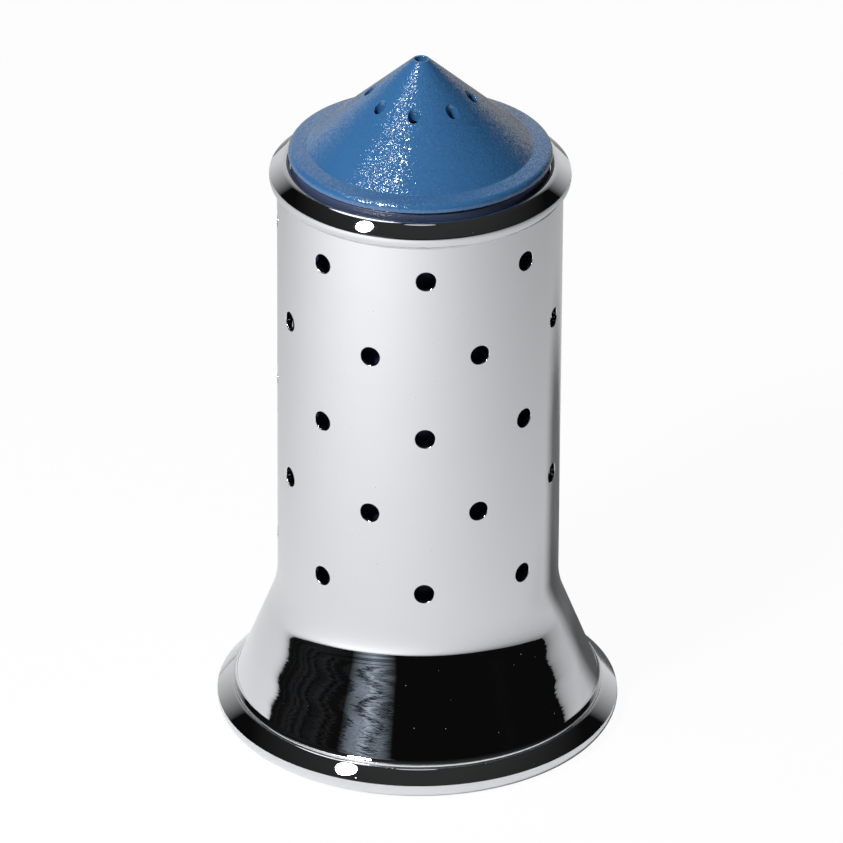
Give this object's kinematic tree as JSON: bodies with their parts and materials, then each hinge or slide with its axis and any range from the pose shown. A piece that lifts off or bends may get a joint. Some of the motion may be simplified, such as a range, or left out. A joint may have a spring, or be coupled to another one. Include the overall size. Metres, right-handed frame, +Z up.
{
  "type": "salt cellar",
  "caption": "Free-standing salt castor: perforated steel sleeve with a flared foot, an inner salt container and a pull-off conical sieve cap.",
  "frame": {"origin": "centre of the foot ring's flat land, on the surface the castor stands on", "axes": "+Z up along the castor's axis, -Y towards the pictured side"},
  "size_m": [0.0616, 0.0616, 0.11],
  "materials": {
    "polished_steel": "mirror-polished stainless steel with faint lengthwise polishing lines",
    "blue_plastic": "satin moulded plastic with a fine spark-eroded grain",
    "black_plastic": "fine satin moulded plastic",
    "plated_steel": "bright zinc plating",
    "insert_brass": "turned and knurled brass",
    "seal_rubber": "smooth matt rubber"
  },
  "bodies": {
    "castor_body": {"sleeve": "polished_steel", "rim_ring": "polished_steel", "foot_ring": "polished_steel", "salt_container": "black_plastic", "base_plate": "black_plastic", "base_screw": "plated_steel", "screw_washer": "plated_steel", "threaded_insert": "insert_brass"},
    "seal": {"cap_seal": "seal_rubber"},
    "cap": {"cap": "blue_plastic"}
  },
  "joints": [
    {"name": "cap_lift", "type": "slide", "parent": "castor_body", "child": "seal", "axis": [0, 0, 1], "range_m": [0, 0.04]},
    {"name": "cap_turn", "type": "hinge", "parent": "seal", "child": "cap", "pos_m": [0, 0, 0.094], "axis": [0, 0, 1], "continuous": true}
  ]
}
